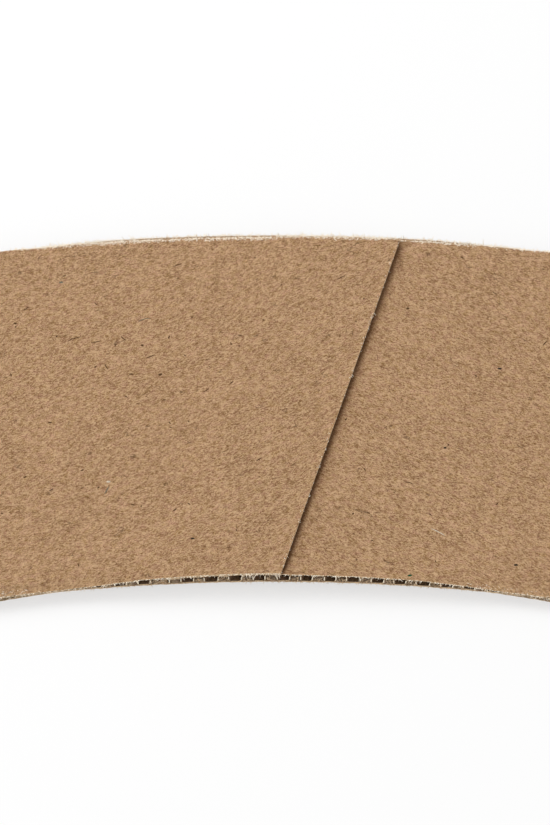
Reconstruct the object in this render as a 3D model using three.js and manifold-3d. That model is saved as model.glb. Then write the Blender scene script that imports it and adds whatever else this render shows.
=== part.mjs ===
// A corrugated-board cup sleeve, glued into a ring and folded flat, lying on its rear panel.
// Millimetres. X runs across the sleeve, Y towards the wide rim and Z up from the table.
// The origin is the middle of the footprint, at table height.
//
// The sleeve is one strip of board: a rear panel, a fold at each side, and two front flaps,
// the left one glued over the right one along a slanted seam.

import * as THREE from "three";
import { mergeGeometries, mergeVertices } from "three/addons/utils/BufferGeometryUtils.js";
import Module from "manifold-3d";

const wasm = await Module();
wasm.setup();

// ---- The outline: a fan of two rims about one centre, between two fold lines.
const NARROW_RADIUS = 264;
const SLEEVE_HEIGHT = 60;
const FOLD_ANGLE = 11.95;

// ---- The board: an outer and an inner liner with a fluted medium between them.
const BOARD_THICKNESS = 1.5;
const LINER_THICKNESS = 0.25;
const MEDIUM_THICKNESS = 0.22;
const FLUTE_PITCH = 3.05;
const FLUTE_CREST_HALF = 0.3;

// ---- The folded state.
const INNER_GAP = 0.3;
const REAR_RISE = 1.6;
const REAR_RISE_FULL_ANGLE = 3;

// ---- The folds, crushed thin where the board turns.
const CRUSHED_FOLD = 0.6;
const FOLD_TAPER = 4;
const FOLD_SHOULDER = 1.2;
const FOLD_SHOULDER_DROP = 0.55;
const FOLD_CHEEK = 0.35;
const FOLD_CHEEK_DROP = 0.95;
const FOLD_LAP = 0.5;
const CELL_TO_FOLD = 5;

// ---- The seam and the glued overlap under it.
const SEAM_FOOT_X = 1.1;
const SEAM_SLANT = 16.6;
const OVERLAP = 14.5;
const CRUSHED_FLAP = 0.45;
const GLUE_BITE = 0.05;
const RAMP_START = 0.5;
const RAMP_FOOT = 2.2;
const RAMP_TOP_LEAD = 1;
const RAMP_TOP_FOOT = 6;
const CELL_TO_RAMP = 3.4;

// ---- Where the flutes cross the narrow rim, one crossing for each panel.
const RIGHT_FLUTE_X = 1.4;
const LEFT_FLUTE_X = -18.4;
const REAR_FLUTE_X = 0;

// ---- Cell ends: how far an open end runs out of the rim, and the least of a closed one.
const CELL_OVERRUN = 4;
const CLOSED_END_WALL = 2;
const SHORTEST_CELL = 8;

// ---- Facets and reach of the cutting shapes.
const RIM_SEGMENTS = 36;
const REACH = 200;

const radians = THREE.MathUtils.degToRad;
const wideRadius = NARROW_RADIUS + SLEEVE_HEIGHT;
const lowestPoint = NARROW_RADIUS * Math.cos(radians(FOLD_ANGLE));
const highestPoint = wideRadius + REAR_RISE;
const fanCentreY = -(lowestPoint + highestPoint) / 2;
const rearTop = BOARD_THICKNESS;
const frontBottom = rearTop + INNER_GAP;
const frontTop = frontBottom + BOARD_THICKNESS;
const middleHeight = frontTop / 2;

// ---------------------------------------------------------------- solids and prisms

// Turns one closed geometry into a solid for the booleans.
function solid(geometry) {
  const plain = geometry.clone();
  plain.deleteAttribute("normal");
  plain.deleteAttribute("uv");
  const merged = mergeVertices(plain, 1e-5);
  return new wasm.Manifold(
    new wasm.Mesh({
      numProp: 3,
      vertProperties: new Float32Array(merged.attributes.position.array),
      triVerts: new Uint32Array(merged.index.array),
    }),
  );
}

// Turns a solid back into a geometry with flat faces.
function geometryOf(body) {
  const mesh = body.getMesh();
  const corners = new Float32Array(mesh.triVerts.length * 3);
  mesh.triVerts.forEach((vertex, i) => {
    for (let k = 0; k < 3; k++) {
      corners[i * 3 + k] = mesh.vertProperties[vertex * mesh.numProp + k];
    }
  });
  const geometry = new THREE.BufferGeometry();
  geometry.setAttribute("position", new THREE.BufferAttribute(corners, 3));
  geometry.computeVertexNormals();
  return geometry;
}

// A unit vector in plan that leans from +Y towards +X by an angle in degrees.
function leaning(degrees) {
  return new THREE.Vector2(Math.sin(radians(degrees)), Math.cos(radians(degrees)));
}

// The plan direction a profile's first axis takes when it is swept along `along`: to its left.
function leftOf(along) {
  return new THREE.Vector2(-along.y, along.x);
}

// Sweeps a profile of [across, up] points straight along a line in plan. The line starts at
// `foot`; `across` counts to the left of the way it runs, `up` from the table.
function sweep(profile, foot, along, from, to) {
  const shape = new THREE.Shape(profile.map(([across, up]) => new THREE.Vector2(across, up)));
  const geometry = new THREE.ExtrudeGeometry(shape, { depth: to - from, bevelEnabled: false });
  const left = leftOf(along);
  const frame = new THREE.Matrix4().makeBasis(
    new THREE.Vector3(left.x, left.y, 0),
    new THREE.Vector3(0, 0, 1),
    new THREE.Vector3(along.x, along.y, 0),
  );
  frame.setPosition(foot.x + along.x * from, foot.y + along.y * from, 0);
  return geometry.applyMatrix4(frame);
}

// ---------------------------------------------------------------- the outline

// A point of the fan, by its radius and its angle from the middle in degrees.
function fanPoint(radius, angle) {
  const way = leaning(angle);
  return new THREE.Vector2(way.x * radius, fanCentreY + way.y * radius);
}

// How much higher the rear panel's rims run than the front's: all of it in the middle, none of
// it at the folds, where both panels are the same strip of board.
function rearRise(angle) {
  const fade = THREE.MathUtils.smoothstep(Math.abs(angle), REAR_RISE_FULL_ANGLE, FOLD_ANGLE);
  return REAR_RISE * (1 - fade);
}

// The body both rims are cut with: the fan outline, raised in its lower storey.
function rimCutter() {
  const widest = FOLD_ANGLE + 1;
  const outline = [];
  for (let i = 0; i <= RIM_SEGMENTS; i++) {
    const angle = -widest + (2 * widest * i) / RIM_SEGMENTS;
    outline.push(fanPoint(NARROW_RADIUS, angle));
  }
  for (let i = RIM_SEGMENTS; i >= 0; i--) {
    const angle = -widest + (2 * widest * i) / RIM_SEGMENTS;
    outline.push(fanPoint(wideRadius, angle));
  }
  const storeys = [-1, rearTop, frontBottom, frontTop + 2];
  const geometry = new THREE.ExtrudeGeometry(new THREE.Shape(outline), {
    depth: 3,
    steps: 3,
    bevelEnabled: false,
  });
  const position = geometry.attributes.position;
  for (let i = 0; i < position.count; i++) {
    const storey = Math.round(position.getZ(i));
    const x = position.getX(i);
    const y = position.getY(i);
    const angle = THREE.MathUtils.radToDeg(Math.atan2(x, y - fanCentreY));
    const rise = storey < 2 ? rearRise(angle) : 0;
    position.setXYZ(i, x, y + rise, storeys[storey]);
  }
  return geometry;
}

// ---------------------------------------------------------------- panels and folds

// Each fold line runs so that its left-hand side is the inside of the sleeve.
const leftFold = {
  foot: fanPoint(wideRadius, -FOLD_ANGLE),
  along: leaning(-FOLD_ANGLE).negate(),
};
const rightFold = {
  foot: fanPoint(NARROW_RADIUS, FOLD_ANGLE),
  along: leaning(FOLD_ANGLE),
};
const seam = {
  foot: new THREE.Vector2(SEAM_FOOT_X, fanCentreY + NARROW_RADIUS),
  along: leaning(SEAM_SLANT),
};

// Half of space in plan: everything further than `inset` inside a line, as a large slab.
function inside(line, inset) {
  const block = [
    [inset, -1],
    [REACH, -1],
    [REACH, frontTop + 2],
    [inset, frontTop + 2],
  ];
  return solid(sweep(block, line.foot, line.along, -REACH, REACH));
}

function rearPanel() {
  const half = REACH / 2;
  const sheet = [
    [-half, 0],
    [half, 0],
    [half, rearTop],
    [-half, rearTop],
  ];
  const middle = new THREE.Vector2(0, 0);
  return solid(sweep(sheet, middle, leaning(0), -half, half))
    .intersect(inside(leftFold, FOLD_TAPER))
    .intersect(inside(rightFold, FOLD_TAPER));
}

// The board turned through a half circle: tapering in, pinched thin at the nose, tapering out.
function fold(line) {
  const lap = FOLD_TAPER + FOLD_LAP;
  const pinchTop = FOLD_SHOULDER_DROP + CRUSHED_FOLD;
  const bend = (FOLD_CHEEK + CRUSHED_FOLD + FOLD_SHOULDER) / 3;
  const lowerHalf = [
    [lap, 0],
    [FOLD_TAPER, 0],
    [FOLD_SHOULDER, FOLD_SHOULDER_DROP],
    [FOLD_CHEEK, FOLD_CHEEK_DROP],
    [0, middleHeight],
  ];
  const upperHalf = lowerHalf
    .slice(0, -1)
    .reverse()
    .map(([across, up]) => [across, frontTop - up]);
  const lining = [
    [lap, frontBottom],
    [FOLD_TAPER, frontBottom],
    [FOLD_SHOULDER, frontTop - pinchTop],
    [bend, middleHeight + INNER_GAP],
    [bend, middleHeight - INNER_GAP],
    [FOLD_SHOULDER, pinchTop],
    [FOLD_TAPER, rearTop],
    [lap, rearTop],
  ];
  const profile = [...lowerHalf, ...upperHalf, ...lining];
  return solid(sweep(profile.reverse(), line.foot, line.along, -REACH / 2, REACH / 2));
}

// The right flap runs on under the left one and ends there with a cut parallel to the seam.
function rightFlap() {
  const sheet = [
    [-REACH, frontBottom],
    [OVERLAP, frontBottom],
    [OVERLAP, frontTop],
    [-REACH, frontTop],
  ];
  return solid(sweep(sheet, seam.foot, seam.along, -REACH, REACH)).intersect(
    inside(rightFold, FOLD_TAPER),
  );
}

// The left flap climbs onto the right one and lies on it crushed thin, up to the seam edge.
function leftFlap() {
  const glueLevel = frontTop - GLUE_BITE;
  const profile = [
    [0, glueLevel],
    [OVERLAP + RAMP_START, glueLevel],
    [OVERLAP + RAMP_FOOT, frontBottom],
    [REACH, frontBottom],
    [REACH, frontTop],
    [OVERLAP + RAMP_TOP_FOOT, frontTop],
    [OVERLAP - RAMP_TOP_LEAD, frontTop + CRUSHED_FLAP],
    [0, frontTop + CRUSHED_FLAP],
  ];
  return solid(sweep(profile, seam.foot, seam.along, -REACH, REACH)).intersect(
    inside(leftFold, FOLD_TAPER),
  );
}

// ---------------------------------------------------------------- the flutes' cells

// The cell under a crest of the medium, standing on the inner side of the board.
function lowCell(base) {
  const crest = BOARD_THICKNESS - LINER_THICKNESS - MEDIUM_THICKNESS / 2;
  const trough = LINER_THICKNESS + MEDIUM_THICKNESS / 2;
  const run = FLUTE_PITCH / 2 - 2 * FLUTE_CREST_HALF;
  const rise = crest - trough;
  const wall = ((MEDIUM_THICKNESS / 2) * Math.hypot(run, rise)) / rise;
  const halfWidthAt = (z) => FLUTE_CREST_HALF + (run * (crest - z)) / rise - wall;
  const floor = LINER_THICKNESS;
  const roof = crest - MEDIUM_THICKNESS / 2;
  return [
    [-halfWidthAt(floor), base + floor],
    [halfWidthAt(floor), base + floor],
    [halfWidthAt(roof), base + roof],
    [-halfWidthAt(roof), base + roof],
  ];
}

// The cell over a trough, hanging from the other liner: the low cell upside down.
function highCell(base) {
  const turned = lowCell(0).map(([across, up]) => [across, base + BOARD_THICKNESS - up]);
  return turned.reverse();
}

// Where a straight line in plan crosses a rim, as a distance along the line.
function rimCrossing(start, along, radius, rise) {
  const from = new THREE.Vector2(start.x, start.y - fanCentreY - rise);
  const b = from.dot(along);
  return -b + Math.sqrt(b * b - from.lengthSq() + radius * radius);
}

// Cuts a span down to the part that lies further than `inset` inside a line.
function clipSpan(span, start, along, line, inset) {
  const left = leftOf(line.along);
  const depth = start.clone().sub(line.foot).dot(left) - inset;
  const gain = along.dot(left);
  if (Math.abs(gain) < 1e-6) {
    return depth > 0 ? span : null;
  }
  const crossing = -depth / gain;
  const low = gain > 0 ? Math.max(span[0], crossing) : span[0];
  const high = gain > 0 ? span[1] : Math.min(span[1], crossing);
  return low < high ? [low, high] : null;
}

// The stretch one cell runs over: open through each rim it reaches, closed at folds and ramps.
function cellSpan(start, along, halfWidth, limits, rise) {
  const narrow = rimCrossing(start, along, NARROW_RADIUS, rise);
  const wide = rimCrossing(start, along, wideRadius, rise);
  let span = [narrow - CELL_OVERRUN, wide + CELL_OVERRUN];
  for (const side of [-halfWidth, halfWidth]) {
    const edge = start.clone().addScaledVector(leftOf(along), side);
    for (const { line, inset } of limits) {
      span = span && clipSpan(span, edge, along, line, inset);
    }
  }
  if (!span) {
    return null;
  }
  if (span[0] > narrow - CELL_OVERRUN) {
    span[0] = Math.max(span[0], narrow + CLOSED_END_WALL);
  }
  if (span[1] < wide + CELL_OVERRUN) {
    span[1] = Math.min(span[1], wide - CLOSED_END_WALL);
  }
  return span[1] - span[0] > SHORTEST_CELL ? span : null;
}

// All cells of one panel: flutes a pitch apart, one low and one high cell for each.
function cells(panel) {
  const { crossingX, along, base, limits, rise } = panel;
  const left = leftOf(along);
  const origin = new THREE.Vector2(crossingX, fanCentreY + NARROW_RADIUS);
  const halfWidth = lowCell(0)[1][0];
  const prisms = [];
  const count = Math.ceil(REACH / FLUTE_PITCH);
  for (let i = -count; i <= count; i++) {
    const profile = i % 2 === 0 ? highCell(base) : lowCell(base);
    const start = origin.clone().addScaledVector(left, (i * FLUTE_PITCH) / 2);
    const span = cellSpan(start, along, halfWidth, limits, rise);
    if (span) {
      prisms.push(sweep(profile, start, along, span[0], span[1]));
    }
  }
  return solid(mergeGeometries(prisms));
}

// Folding a flap over turns the flutes' lean to twice the fold's own.
const flapLean = 2 * FOLD_ANGLE;
const seamBackwards = { foot: seam.foot, along: seam.along.clone().negate() };

const rearFlutes = {
  crossingX: REAR_FLUTE_X,
  along: leaning(0),
  base: 0,
  rise: REAR_RISE,
  limits: [
    { line: leftFold, inset: CELL_TO_FOLD },
    { line: rightFold, inset: CELL_TO_FOLD },
  ],
};
const leftFlutes = {
  crossingX: LEFT_FLUTE_X,
  along: leaning(-flapLean),
  base: frontBottom,
  rise: 0,
  limits: [
    { line: leftFold, inset: CELL_TO_FOLD },
    { line: seam, inset: OVERLAP + CELL_TO_RAMP },
  ],
};
const rightFlutes = {
  crossingX: RIGHT_FLUTE_X,
  along: leaning(flapLean),
  base: frontBottom,
  rise: 0,
  limits: [
    { line: rightFold, inset: CELL_TO_FOLD },
    { line: seamBackwards, inset: -OVERLAP - CELL_OVERRUN },
  ],
};

// ---------------------------------------------------------------- the sleeve

function sleeveBody() {
  return rearPanel()
    .subtract(cells(rearFlutes))
    .add(rightFlap().subtract(cells(rightFlutes)))
    .add(leftFlap().subtract(cells(leftFlutes)))
    .add(fold(leftFold))
    .add(fold(rightFold))
    .intersect(solid(rimCutter()));
}

const kraft = new THREE.MeshStandardMaterial({ color: 0xae8b69, roughness: 0.92, metalness: 0 });
const sleeve = new THREE.Mesh(geometryOf(sleeveBody()), kraft);
sleeve.name = "sleeve";

const part = new THREE.Group();
part.name = "cup_sleeve";
part.add(sleeve);

export default part;
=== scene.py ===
"""A corrugated kraft cup sleeve, glued into a ring, folded flat and lying on its rear panel.

Lengths are worked out in millimetres and turned into metres when a mesh is made. X runs
across the sleeve, Y towards the wide rim and Z up from the table.
"""

import math

import bpy
import numpy as np
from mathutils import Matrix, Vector


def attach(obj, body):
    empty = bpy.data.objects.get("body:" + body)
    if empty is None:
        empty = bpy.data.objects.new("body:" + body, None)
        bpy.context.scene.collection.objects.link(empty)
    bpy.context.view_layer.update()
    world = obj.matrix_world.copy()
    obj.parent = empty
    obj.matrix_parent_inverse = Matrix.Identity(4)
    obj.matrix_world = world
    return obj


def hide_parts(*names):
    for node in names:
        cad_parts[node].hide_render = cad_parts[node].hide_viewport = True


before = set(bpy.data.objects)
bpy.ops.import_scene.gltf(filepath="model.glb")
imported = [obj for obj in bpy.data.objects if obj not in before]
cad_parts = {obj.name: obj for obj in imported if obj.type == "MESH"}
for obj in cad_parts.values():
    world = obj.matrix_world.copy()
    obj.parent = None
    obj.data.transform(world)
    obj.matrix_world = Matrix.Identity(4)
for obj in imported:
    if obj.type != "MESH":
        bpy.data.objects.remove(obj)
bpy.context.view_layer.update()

# The fan both panels are cut to. The rear panel's rims run a little further out.
NARROW_RADIUS = 264.0
SLEEVE_HEIGHT = 60.0
WIDE_RADIUS = NARROW_RADIUS + SLEEVE_HEIGHT
FOLD_ANGLE = math.radians(11.95)
REAR_RISE = 1.6
REAR_RISE_FULL_ANGLE = math.radians(3.0)
FAN_CENTRE_Y = -(NARROW_RADIUS * math.cos(FOLD_ANGLE) + WIDE_RADIUS + REAR_RISE) / 2

# The board and its papers, the most of a crushed board that one liner fills, the medium's
# least wave, and how rough the cut rims of liners and medium are. Then the flutes, with the X
# at which a trough of each front panel's medium meets the narrow rim, and how many are drawn
# each way from there.
BOARD = 1.5
LINER = 0.15
MEDIUM = 0.16
MOST_LINER = 0.47
LEAST_WAVE = 0.01
RIM_ROUGH = 0.08
FLUTE_ROUGH = 0.12
FLUTE_PITCH = 3.05
RIGHT_FLUTE_X = 1.4
LEFT_FLUTE_X = -18.4
FLUTES_EACH_WAY = 25

# The front boards: height of their inner face, its drop at the folds and its waviness, and
# the share of the thickness lost right at the wide rim.
FRONT_BASE = 1.58
FRONT_DROP = 0.04
FRONT_WAVE = 0.012
WIDE_PINCH = 0.12
WIDE_PINCH_WAVER = 0.05
WIDE_PINCH_DEPTH = 1.0

# Folds, seam and overlap. The left flap's inner face climbs the ramp between RAMP_START and
# RAMP_FOOT past the overlap, its outer face a longer one.
FOLD_TAPER = 4.0
FOLD_INSET = 4.3
SEAM_FOOT_X = 1.1
SEAM_SLANT = math.radians(16.6)
OVERLAP = 14.5
CRUSHED_FLAP = 0.42
CRUSHED_FLAP_RIM = 0.25
THINNEST_FLAP = 0.22
SEAM_LIFT = 0.24
SEAM_LIFT_LOST_AT_RIM = 0.85
SEAM_CURL = 0.9
SEAM_CORNER = 1.5
RAMP_START = 0.5
RAMP_FOOT = 2.6
RAMP_TOP_LEAD = 1.0
RAMP_TOP_FOOT = 6.0
PAST_RAMP = OVERLAP + RAMP_FOOT + 0.4
HIDDEN_END_THICK = 0.05
END_CLEARANCE = 0.15
END_FLUTE = 1.8
RAMP_FLUTE = 0.6

SEAM_FOOT = np.array([SEAM_FOOT_X, NARROW_RADIUS])
SEAM_ALONG = np.array([math.sin(SEAM_SLANT), math.cos(SEAM_SLANT)])
SEAM_LEFT = np.array([-SEAM_ALONG[1], SEAM_ALONG[0]])

# The front board's thickness at its narrow rim, from left fold to right fold, and how far in
# it is squeezed or flared.
RIM_X = np.array([-62, -48, -38, -30, -24.7, -21.6, -18.5, -15, -11.5, -8.4, -5, -1.4, 1.0,
                  1.6, 4.8, 7.7, 11.2, 14.3, 18, 21, 24.4, 27.8, 31.1, 38, 48, 62.0])
RIM_THICK = np.array([0.75, 0.5, 0.42, 0.45, 0.78, 1.10, 1.48, 1.46, 1.62, 1.78, 1.90, 1.95,
                      1.98, 1.92, 1.85, 1.80, 1.78, 1.70, 1.64, 1.50, 1.25, 0.98, 0.60, 0.42,
                      0.5, 0.75])
SQUEEZE_DEPTH = 1.2
FLARE_DEPTH = 3.0

# Fray and painted shade of the outer face: amount and reach of each fade, then the torn band at
# the narrow rim's sides with the crease's painted shade behind it, then the painted shadow that
# the left flap's raised edge casts beside the seam.
NARROW_FRAY = (0.6, 0.07)
WIDE_FRAY = (0.4, 0.10)
SEAM_FRAY = (0.25, 0.07)
REAR_RIM_FRAY_REACH = 0.9
BAND_FRAY = 0.42
BAND_DEPTH = 0.85
BAND_WAVER = 0.14
BAND_BLUR = 0.35
CREASE_SHADE = 0.22
CREASE_WIDTH = 0.13
SEAM_SHADE = 0.64
SEAM_SHADE_LOST_AT_WIDE_RIM = 0.14
SEAM_SHADE_WIDTH = 0.55
SEAM_SHADE_WIDER_AT_WIDE_RIM = 0.40
SEAM_SOFT_SHADE = (0.22, 1.3)
SEAM_SHADE_REACH = 3.2
MOST_SHADE = 0.9

# Columns of the wrapped board: beside the seam, on to the fold, round a fold, across the
# rear, on the right flap near the seam line and under the left flap. Then where each part
# starts, and how many of the right flap's carry loose fibres: those shown and a few more.
# Beside the seam they crowd towards it by a power.
SEAM_COLUMNS = 60
SEAM_CROWDING = 1.3
FLAP_COLUMNS = 90
NOSE_COLUMNS = 39
REAR_COLUMNS = 200
SHADE_COLUMNS = 34
HIDDEN_COLUMNS = 46
COLUMN_EDGE = 0.8
LEFT_NOSE = SEAM_COLUMNS + FLAP_COLUMNS
REAR_START = LEFT_NOSE + NOSE_COLUMNS
RIGHT_NOSE = REAR_START + REAR_COLUMNS
RIGHT_FLAP = RIGHT_NOSE + NOSE_COLUMNS
SHOWN_COLUMNS = FLAP_COLUMNS + SHADE_COLUMNS + 15

SHARP_ANGLE = math.radians(35)
NEARLY_UP = (0.0, 0.03, 1.0)


def smooth(t):
    """The S-shaped step 3t^2 - 2t^3, held at 0 below 0 and at 1 above 1."""
    t = np.clip(t, 0.0, 1.0)
    return t * t * (3.0 - 2.0 * t)


def ripple(x, y, seed, size, count=14):
    """A smooth random field of about unit height: a sum of sine waves of random heading, whose
    wavelengths lie around `size`."""
    rng = np.random.default_rng(seed)
    heading = rng.uniform(0, 2 * math.pi, count)
    length = size * rng.uniform(0.6, 1.8, count)
    phase = rng.uniform(0, 2 * math.pi, count)
    total = np.zeros(np.broadcast(x, y).shape)
    for a, w, p in zip(heading, length, phase):
        total += np.sin((x * math.cos(a) + y * math.sin(a)) * 2 * math.pi / w + p)
    return total * math.sqrt(2.0 / count) * 0.5


def fade(distance, amount, reach):
    """An exponential fade: the amount at distance 0, divided by e over each reach."""
    return amount * np.exp(-distance / reach)


# The folded board's shape. Plan positions are counted from the fan's centre until a mesh is
# made.


def rear_rise(angle):
    """How much further out the rear panel's rims run: all of it near the middle, fading in an
    S curve to none at the folds."""
    return REAR_RISE * (1 - smooth((np.abs(angle) - REAR_RISE_FULL_ANGLE)
                                   / (FOLD_ANGLE - REAR_RISE_FULL_ANGLE)))


def seam_distance(x, y):
    """Distance to the left of the seam line, square to it."""
    return (x - SEAM_FOOT[0]) * SEAM_LEFT[0] + (y - SEAM_FOOT[1]) * SEAM_LEFT[1]


def line_angle(radius, offset):
    """The angle from the middle at which a line parallel to the seam, `offset` to its left,
    crosses each radius: the point foot + t * along whose length is the radius."""
    foot_x = SEAM_FOOT[0] + offset * SEAM_LEFT[0]
    foot_y = SEAM_FOOT[1] + offset * SEAM_LEFT[1]
    b = foot_x * SEAM_ALONG[0] + foot_y * SEAM_ALONG[1]
    t = -b + np.sqrt(b * b - foot_x ** 2 - foot_y ** 2 + radius * radius)
    return np.arctan2(foot_x + t * SEAM_ALONG[0], foot_y + t * SEAM_ALONG[1])


def rim_share(x, y, depth, power):
    """1 at the narrow rim, falling to 0 at a depth inside it, as a power of the way left."""
    return np.clip(1 - (np.hypot(x, y) - NARROW_RADIUS) / depth, 0, 1) ** power


def plain_board(x, y):
    """Heights of a front flap's inner and outer faces where nothing lies under it but the rear
    panel. It nearly touches that panel at the folds. At the narrow rim its thickness becomes
    the one listed for that X: squeezed over a short depth or swollen over a longer one. The
    wide rim is only pinched a little."""
    angle = np.arctan2(x, y)
    inner = (FRONT_BASE - FRONT_DROP * (angle / FOLD_ANGLE) ** 2
             + FRONT_WAVE * ripple(x, y, 11, 40.0))
    rim = np.interp(x, RIM_X, RIM_THICK)
    near = np.where(rim < BOARD, rim_share(x, y, SQUEEZE_DEPTH, 1.5),
                    rim_share(x, y, FLARE_DEPTH, 2.0))
    far = np.clip(1 - (WIDE_RADIUS - np.hypot(x, y)) / WIDE_PINCH_DEPTH, 0, 1)
    pinch = WIDE_PINCH + WIDE_PINCH_WAVER * ripple(x, y, 5, 6.0)
    return inner, inner + (BOARD + (rim - BOARD) * near) * (1 - pinch * far ** 2)


def right_flap(x, y):
    """Heights of the right flap's inner and outer faces: a plain board whose hidden end thins
    out under the left flap's ramp, in the ramp's own S curve."""
    s = seam_distance(x, y)
    inner, outer = plain_board(x, y)
    left = smooth((OVERLAP + RAMP_FOOT - END_CLEARANCE - s) / (RAMP_FOOT - RAMP_START))
    return inner, inner + np.maximum((outer - inner) * left, HIDDEN_END_THICK)


def left_flap(x, y):
    """Heights of the left flap's inner and outer faces. Away from the seam it is a plain board.
    Its inner face climbs an S-shaped ramp over the right flap's end, and its outer face a
    longer one, and from there it lies on the right flap crushed thin, thinnest at the narrow
    rim, with its very edge lifted a little by an exponential curl."""
    s = seam_distance(x, y)
    inner, outer = plain_board(x, y)
    climb = smooth((OVERLAP + RAMP_FOOT - s) / (RAMP_FOOT - RAMP_START))
    swell = smooth((OVERLAP + RAMP_TOP_FOOT - s) / (RAMP_TOP_FOOT + RAMP_TOP_LEAD))
    near = rim_share(x, y, FLARE_DEPTH, 2.0)
    lift = fade(np.maximum(s, 0), SEAM_LIFT * (1 - SEAM_LIFT_LOST_AT_RIM * near), SEAM_CURL)
    crushed = CRUSHED_FLAP + (CRUSHED_FLAP_RIM - CRUSHED_FLAP) * near
    low = inner + climb * (outer - inner) + lift
    return low, np.maximum(outer + swell * crushed + lift, low + THINNEST_FLAP)


def front_height(x, y):
    """Height of the uppermost face of the front."""
    return np.where(seam_distance(x, y) > 0, left_flap(x, y)[1], right_flap(x, y)[1])


def rear_panel(x, y):
    """Heights of the rear panel's outer face, on the table, and its inner face."""
    flat = np.zeros(np.broadcast(x, y).shape)
    return flat, flat + BOARD


def face_fray_and_painted_shade(x, y):
    """How frayed the outer face is near its rims, and the shade painted on it there. It is pale and
    torn in the band that is crushed at the sides of the narrow rim, with the crease's shade
    painted dark behind the band, and pale right at both rims. Each fades as an exponential or a
    Gauss curve of the distance."""
    inward = np.hypot(x, y) - NARROW_RADIUS
    outward = WIDE_RADIUS - np.hypot(x, y)
    crushed = smooth((1.0 - np.interp(x, RIM_X, RIM_THICK)) / 0.4)
    line = BAND_DEPTH + BAND_WAVER * ripple(x, y, 31, 7.0)
    band = crushed * smooth((line - inward) / BAND_BLUR)
    crease = crushed * np.exp(-((inward - line) / CREASE_WIDTH) ** 2)
    fray = BAND_FRAY * band + fade(inward, *NARROW_FRAY) + fade(outward, *WIDE_FRAY)
    return fray, CREASE_SHADE * crease * smooth(0.5 + 0.8 * ripple(x, y, 41, 14.0))


# Meshes from grids.


def rows():
    """Steps from the narrow rim to the wide one as fractions: close together at both rims."""
    edge = np.array([0, 0.12, 0.26, 0.42, 0.6, 0.8, 1.05, 1.35, 1.8, 2.5, 3.5])
    middle = np.linspace(5.0, SLEEVE_HEIGHT - 5.0, 34)
    return np.concatenate([edge, middle, SLEEVE_HEIGHT - edge[::-1]]) / SLEEVE_HEIGHT


ROWS = rows()


def place(x, y, z):
    """Plan positions from the fan's centre, and a height, as one array of points."""
    x, y, z = np.broadcast_arrays(x, y, z)
    return np.stack([x, y + FAN_CENTRE_Y, z], axis=-1)


def build(name, points, quads, material_of, materials, grain=None, fray_and_painted_shade=None):
    """Makes one mesh object from points in millimetres and quads, with a material index for
    each quad and two point attributes: each point's place in the flat blank, and how frayed
    it is and how much shade is painted on it."""
    mesh = bpy.data.meshes.new(name)
    mesh.vertices.add(len(points))
    mesh.vertices.foreach_set("co", (points * 0.001).astype(np.float32).ravel())
    quads = np.asarray(quads, dtype=np.int32)
    mesh.loops.add(quads.size)
    mesh.loops.foreach_set("vertex_index", quads.ravel())
    mesh.polygons.add(len(quads))
    starts = np.arange(0, quads.size, quads.shape[1], dtype=np.int32)
    mesh.polygons.foreach_set("loop_start", starts)
    for material in materials:
        mesh.materials.append(material)
    mesh.update(calc_edges=True)
    mesh.polygons.foreach_set("material_index", np.asarray(material_of, dtype=np.int32))
    mesh.polygons.foreach_set("use_smooth", np.ones(len(quads), dtype=bool))
    if grain is not None:
        layer = mesh.attributes.new("grain", "FLOAT_VECTOR", "POINT")
        layer.data.foreach_set("vector", (grain * 0.001).astype(np.float32).ravel())
    if fray_and_painted_shade is not None:
        layer = mesh.attributes.new("fray_and_painted_shade", "FLOAT_VECTOR", "POINT")
        layer.data.foreach_set("vector", fray_and_painted_shade.astype(np.float32).ravel())
    mesh.set_sharp_from_angle(angle=SHARP_ANGLE)
    mesh.validate()
    piece = bpy.data.objects.new(name, mesh)
    bpy.context.scene.collection.objects.link(piece)
    return piece


def sheet_faces(rows_count, columns_count):
    """The quads of a closed sheet made of two grids, one over the other: both faces and the
    four edge strips. Returns the quads and the kind of each: 0 for the upper face, 2 for the
    lower one and 1 for a strip."""
    index = np.arange(rows_count * columns_count).reshape(rows_count, columns_count)
    under = index + rows_count * columns_count

    def grid(a):
        return np.stack([a[:-1, :-1], a[1:, :-1], a[1:, 1:], a[:-1, 1:]], axis=-1).reshape(-1, 4)

    def strip(a, b):
        return np.stack([a[:-1], a[1:], b[1:], b[:-1]], axis=-1)

    upper = grid(index)
    lower = grid(under)[:, ::-1]
    strips = np.concatenate([
        strip(index[:, 0], under[:, 0])[:, ::-1],
        strip(index[:, -1], under[:, -1]),
        strip(index[0], under[0]),
        strip(index[-1], under[-1])[:, ::-1],
    ])
    quads = np.concatenate([upper, lower, strips])
    kinds = np.concatenate([
        np.zeros(len(upper), int),
        np.full(len(lower), 2),
        np.ones(len(strips), int),
    ])
    return quads, kinds


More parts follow.
